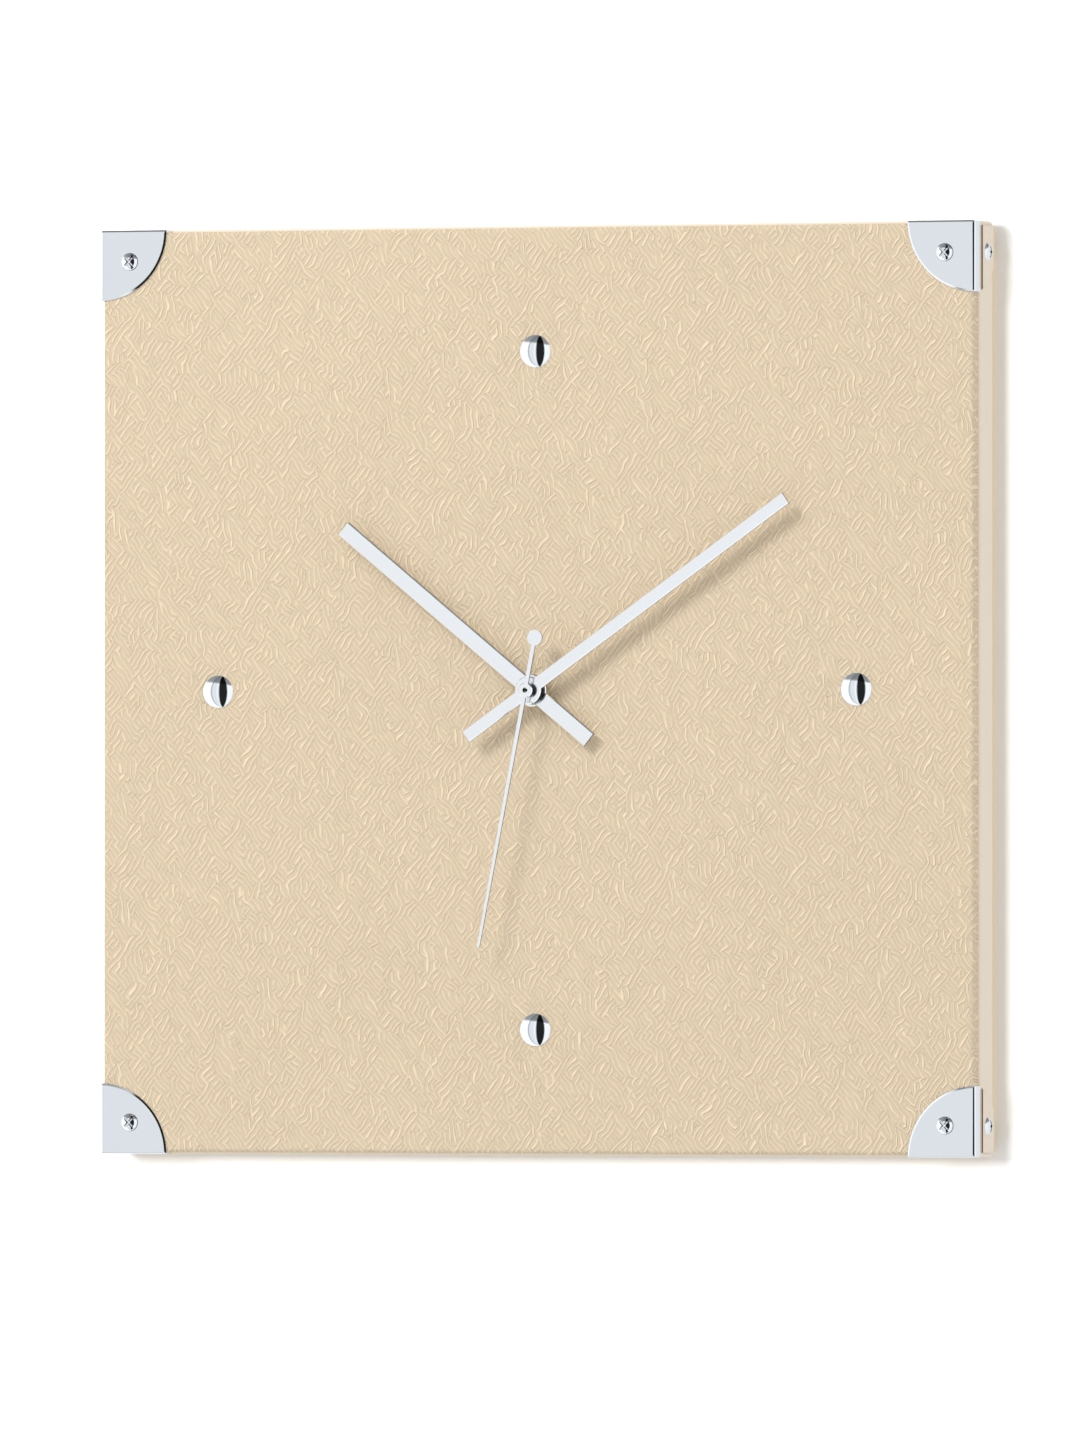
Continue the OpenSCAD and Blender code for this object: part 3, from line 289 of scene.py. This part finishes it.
def hardboard(name, colour):
    """Back of a hardboard sheet: pressed fibres and the mesh print of the press."""
    m = Mat(name, colour, 0.8)
    mesh_x = m.math("SINE", m.math("MULTIPLY", m.add("SeparateXYZ", Vector=m.coords).outputs["X"],
                                   2 * math.pi / (1.3 * MM)))
    mesh_z = m.math("SINE", m.math("MULTIPLY", m.add("SeparateXYZ", Vector=m.coords).outputs["Z"],
                                   2 * math.pi / (1.3 * MM)))
    print_ = m.math("MULTIPLY", mesh_x, mesh_z)
    fibres = m.noise(1.6 * MM, 5.0)
    clouds = m.noise(30 * MM, 3.0)
    height = m.math("ADD", m.math("MULTIPLY", print_, 0.25), fibres)
    tone = m.shade(clouds, 0.1)
    tone = m.shade(fibres, 0.22, tone)
    return m.finish(tone, m.ramp(fibres, 0.3, 0.7, 0.7, 0.9), m.bump(height, 0.12 * MM, 0.7))


def cloth(name, colour):
    """Felt: a tangle of short hairs."""
    m = Mat(name, colour, 0.95, Sheen_Weight=0.5)
    hair = m.noise(0.25 * MM, 4.0, roughness=0.7)
    return m.finish(m.shade(hair, 0.3), None, m.bump(hair, 0.15 * MM, 0.9))


def wound(name, colour):
    """Fine wire wound round the X axis."""
    m = Mat(name, colour, 0.3, 0.6)
    turns = m.math("SINE", m.math("MULTIPLY", m.add("SeparateXYZ", Vector=m.coords).outputs["X"],
                                  2 * math.pi / (0.16 * MM)))
    # Painted shade between the turns and painted highlight on their crests: the colour follows the
    # turns.
    return m.finish(m.shade(turns, 0.12), m.ramp(m.noise(2 * MM), 0.3, 0.7, 0.25, 0.4),
                    m.bump(turns, 0.03 * MM, 0.6))


LEATHER = leatherette("leatherette", srgb(227, 208, 179))
WRAP = smooth_wrap("frame_wrap", srgb(236, 222, 203))
# Dark brown for the flaps' cut edges: a painted shadow line along each fold.
PAINTED_SHADOW_EDGE = smooth_wrap("cut_edge_painted_shadow", srgb(120, 100, 78))
EDGE = smooth_wrap("edge_wrap", srgb(224, 203, 168))
# CHROME, SIDE_CHROME, STUD_CHROME and SILVER paint their walls dark: painted shade on the screws, the
# stud rims and the hands' edges.
CHROME = chrome("chrome", srgb(236, 239, 243), 0.04, painted_shade_axis="Y", dark=0.08)
SIDE_CHROME = chrome("side_chrome", srgb(236, 239, 243), 0.04, painted_shade_axis="X", dark=0.08)
STUD_CHROME = chrome("stud_chrome", srgb(240, 243, 247), 0.02, 0.01, "Y", 0.05, 0.2, 0.4, 0.1, 0.5)
CAP_METAL = chrome("cap_metal", srgb(236, 238, 241), 0.06, 0.01, marked=0.03, flatten=0.45)
ZINC = chrome("zinc", srgb(196, 198, 200), 0.32, 0.12)
SILVER = chrome("hand_silver", srgb(252, 253, 254), 0.16, 0.008, "Y", 0.12, marked=0.015)
BRASS = chrome("brass", srgb(214, 184, 118), 0.24, 0.1)
STEEL = chrome("motor_steel", srgb(170, 172, 175), 0.38, 0.14)
MAGNET = chrome("magnet", srgb(70, 72, 76), 0.45, 0.14)
BOARD = wood("fibreboard", srgb(186, 150, 108), (1, 6, 1))
PINE = wood("softwood", srgb(214, 178, 128), (8, 8, 0.8))
HARDBOARD = hardboard("hardboard", srgb(132, 96, 66))
FELT = cloth("felt", srgb(52, 50, 48))
CASE = plastic("case_black", srgb(38, 38, 40), 0.5)
COVER = plastic("cover_black", srgb(48, 48, 50), 0.42)
ACETAL = plastic("acetal", srgb(226, 222, 208), 0.38, 0.8 * MM)
WHITE = plastic("white_plastic", srgb(232, 232, 228), 0.3, 0.8 * MM)
RESIN = plastic("resin", srgb(18, 18, 18), 0.2, 1.5 * MM)
CIRCUIT = plastic("circuit", srgb(34, 96, 58), 0.35, 1.0 * MM)
CELL = plastic("cell_wrap", srgb(62, 66, 72), 0.3, 1.2 * MM, 0.004 * MM)
COPPER = wound("coil_wire", srgb(176, 96, 52))

paint(LEATHER, "face_cover")
paint(WRAP, "side_band")
paint(EDGE, "rear_frame")
paint(BOARD, "face_board")
paint(PINE, "left_stile", "right_stile", "top_rail", "bottom_rail")
paint(HARDBOARD, "rear_panel")
paint(FELT, "wall_pads")
CORNERS = {"top_left": (-1, 1), "top_right": (1, 1), "bottom_left": (-1, -1), "bottom_right": (1, -1)}
paint(CAP_METAL, *["corner_cap_" + c for c in CORNERS])
paint(CHROME, "cap_screws")
paint(SIDE_CHROME, "side_screws")
paint(STUD_CHROME, *["hour_stud_%d" % h for h in (12, 3, 6, 9)])
paint(ZINC, "panel_screws", "stud_washers", "hanger_plate", "hanger_rivets", "movement_screws",
      "bridge_screws", "battery_spring", "battery_contact", "quartz_crystal")
# The seconds arbor takes the dark magnet material: painted shade in the hole of the second hand's
# hub.
paint(MAGNET, "seconds_arbor")
paint(CASE, "movement_case")
paint(COVER, "movement_cover")
paint(BRASS, "centre_bushing", "minute_arbor")
paint(ACETAL, "hour_wheel", "seconds_wheel", "centre_wheel", "third_wheel", "intermediate_wheel",
      "rotor_pinion", "motion_wheel", "set_pinion")
paint(SILVER, "hour_hand", "minute_hand", "second_hand")
paint(MAGNET, "rotor_magnet")
paint(WHITE, "set_knob", "mid_plate", "train_bridge", "coil_bobbin")
paint(STEEL, "stator", "coil_core")
paint(COPPER, "coil_winding")
paint(CIRCUIT, "circuit_board")
paint(RESIN, "driver_chip")
paint(CELL, "battery")

# ---------------------------------------------------------------- folds of the wrap


def fold(name, side, end):
    """The flap of wrap folded round a frame corner: a thin sheet whose cut edge is painted dark as a
    painted shadow line.
    """
    low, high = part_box("side_band")
    front, back = low.y + FOLD_FRONT, high.y - FOLD_BACK
    outer = high.x if side > 0 else low.x
    tip = (high.z if end > 0 else low.z) - end * FOLD_END
    outline = [(front, tip)]
    for i in range(FOLD_STEPS + 1):
        t = i / FOLD_STEPS
        bow = FOLD_BOW * math.sin(math.pi * t)
        outline.append((front + t * (back - front), tip - end * (FOLD_LONG - FOLD_RISE * t + bow)))
    outline.append((back, tip))
    mesh = bpy.data.meshes.new(name)
    bm = bmesh.new()
    face = bm.faces.new([bm.verts.new((outer, y, z)) for y, z in outline])
    grown = bmesh.ops.extrude_face_region(bm, geom=[face])
    for v in grown["geom"]:
        if isinstance(v, bmesh.types.BMVert):
            v.co.x += side * FOLD_T
            if abs(v.co.z - tip) > MM:
                v.co.z += end * CUT_SLOPE
    bmesh.ops.recalc_face_normals(bm, faces=bm.faces)
    # The flap's cut edge walls take the dark material: a painted shadow line.
    for wall_face in bm.faces:
        wall_face.material_index = 0 if abs(wall_face.normal.x) > 0.95 else 1
    bm.to_mesh(mesh)
    bm.free()
    mesh.materials.append(WRAP)
    mesh.materials.append(PAINTED_SHADOW_EDGE)
    obj = bpy.data.objects.new(name, mesh)
    scene.collection.objects.link(obj)
    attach(obj, "case")


FOLD_T = 0.5 * MM
CUT_SLOPE = 0.7 * MM
# How far the flap stays from the band's front, back and end
FOLD_FRONT = 1.2 * MM
FOLD_BACK = 0.2 * MM
FOLD_END = 1.5 * MM
# Length of the flap at the front, how much shorter it is at the back, and the bow of its cut
FOLD_LONG = 21 * MM
FOLD_RISE = 6.5 * MM
FOLD_BOW = 0.6 * MM
FOLD_STEPS = 8
for corner, (side, end) in CORNERS.items():
    fold("wrap_fold_" + corner, side, end)

# ---------------------------------------------------------------- studio


def card(name, width, height, place, look_at, material):
    """A flat rectangle facing a point. It belongs to the studio."""
    mesh = bpy.data.meshes.new(name)
    w, h = width / 2, height / 2
    mesh.from_pydata([(-w, -h, 0), (w, -h, 0), (w, h, 0), (-w, h, 0)], [], [(0, 1, 2, 3)])
    mesh.materials.append(material)
    obj = bpy.data.objects.new(name, mesh)
    scene.collection.objects.link(obj)
    obj.location = place
    obj.rotation_euler = (Vector(look_at) - Vector(place)).to_track_quat("Z", "Y").to_euler()
    return obj


def wall_paint():
    """White emulsion in front. From behind it is clear, so that the clock's back can be seen."""
    m = Mat("wall_paint", (0.9, 0.9, 0.9, 1), 0.9)
    grain = m.noise(2 * MM, 3.0)
    m.finish(m.shade(grain, 0.01), None, m.bump(grain, 0.03 * MM, 0.3))
    clear = m.add("BsdfTransparent")
    mix = m.add("MixShader")
    facing = m.add("NewGeometry").outputs["Backfacing"]
    m.set(mix.inputs[0], facing)
    m.set(mix.inputs[1], m.bsdf.outputs[0])
    m.set(mix.inputs[2], clear.outputs[0])
    m.set(m.tree.nodes["Material Output"].inputs["Surface"], mix.outputs[0])
    return m.mat


def floor_paint():
    m = Mat("floor_paint", (0.8, 0.8, 0.79, 1), 0.7)
    grain = m.noise(6 * MM, 3.0)
    return m.finish(m.shade(grain, 0.02), None, m.bump(grain, 0.05 * MM, 0.3))


WALL_GAP = 0.3 * MM
WALL_WIDTH = 1.6
FLOOR_WIDTH = 8
FLOOR_LEVEL = -0.9
wall = card("wall", WALL_WIDTH, WALL_WIDTH, (0, WALL_GAP, 0), (0, -1, 0), wall_paint())
wall.visible_shadow = False
wall.visible_diffuse = False
wall.visible_glossy = False
floor = card("floor", FLOOR_WIDTH, FLOOR_WIDTH, (0, 0, FLOOR_LEVEL), (0, 0, 1), floor_paint())
floor.visible_glossy = False


def area_light(name, size, azimuth, elevation, power):
    light = bpy.data.lights.new(name, "AREA")
    light.shape = "SQUARE"
    light.size = size
    light.energy = power
    obj = bpy.data.objects.new(name, light)
    scene.collection.objects.link(obj)
    obj.location = LIGHT_DISTANCE * direction(azimuth, elevation)
    obj.rotation_euler = direction(azimuth, elevation).to_track_quat("Z", "Y").to_euler()
    obj.visible_glossy = False
    return obj


def light_on(light, obj, state):
    """Includes or excludes one object among those that a light falls on."""
    lit = bpy.data.collections.new(light.name + "_lit")
    lit.objects.link(obj)
    light.light_linking.receiver_collection = lit
    lit.collection_objects[0].light_linking.link_state = state


LIGHT_DISTANCE = 3.0
light_on(area_light("key", 1.0, -24, 34, 46), wall, "EXCLUDE")
light_on(area_light("side_fill", 1.2, 84, 4, 9), wall, "EXCLUDE")
light_on(area_light("wall_light", 0.8, -9, 6.5, 90), wall, "INCLUDE")
area_light("back_fill", 1.5, 180, 25, 14)

# The room as it is reflected, as angles and brightnesses. Round the horizon: a wide white softbox
# on the left, a grey gap, a softer panel, a black flag from straight ahead to 28 degrees right,
# and white beyond it. Upwards: bright to 26 degrees above the horizon, then dark.
BANDS = ((-180, 0.9), (-118, 0.9), (-112, 1.25), (-34, 1.25), (-32, 0.5), (-29, 0.5), (-27, 0.92),
         (-14, 0.92), (-9, 1.1), (-6, 1.0), (-3, 0.02), (28, 0.02), (32, 1.15), (180, 0.9))
SKY = ((-90, 0.95), (26, 1.0), (34, 0.3), (90, 0.2))
COOL = (0.94, 0.97, 1.0, 1)
WHITE_LIGHT = (1, 1, 1, 1)
SOFT_LEVEL = 0.76

world = bpy.data.worlds.new("studio")
scene.world = world
world.use_nodes = True
tree = world.node_tree
tree.nodes.clear()


def new(kind, operation=None, *inputs):
    node = tree.nodes.new("ShaderNode" + kind)
    if operation:
        node.operation = operation
    for socket, value in zip(node.inputs, inputs):
        if isinstance(value, bpy.types.NodeSocket):
            tree.links.new(value, socket)
        else:
            socket.default_value = value
    return node


def stops(angle, table, reach):
    """Brightness at an angle from a table of angles and brightnesses."""
    ramp = new("ValToRGB", None, new("MapRange", None, angle, -math.radians(reach),
                                     math.radians(reach)).outputs[0])
    points = ramp.color_ramp.elements
    while len(points) > 1:
        points.remove(points[0])
    for i, (at, value) in enumerate(table):
        place = (at + reach) / (2 * reach)
        point = points[0] if i == 0 else points.new(place)
        point.position = place
        point.color = (value,) * 3 + (1.0,)
    return ramp.outputs[0]


sides = new("SeparateXYZ", None, new("TexCoord").outputs["Generated"])
azimuth = new("Math", "ARCTAN2", sides.outputs[0],
              new("Math", "MULTIPLY", sides.outputs[1], -1.0).outputs[0]).outputs[0]
elevation = new("Math", "ARCSINE", sides.outputs[2]).outputs[0]
level = new("Math", "MULTIPLY", stops(azimuth, BANDS, 180), stops(elevation, SKY, 90)).outputs[0]
mirrored = new("Background", None, COOL, level)
soft = new("Background", None, WHITE_LIGHT, SOFT_LEVEL)
seen = new("Background", None, WHITE_LIGHT, 1.0)
path = new("LightPath")
inner = new("MixShader", None, path.outputs["Is Glossy Ray"], soft.outputs[0], mirrored.outputs[0])
outer = new("MixShader", None, path.outputs["Is Camera Ray"], inner.outputs[0], seen.outputs[0])
new("OutputWorld", None, outer.outputs[0])
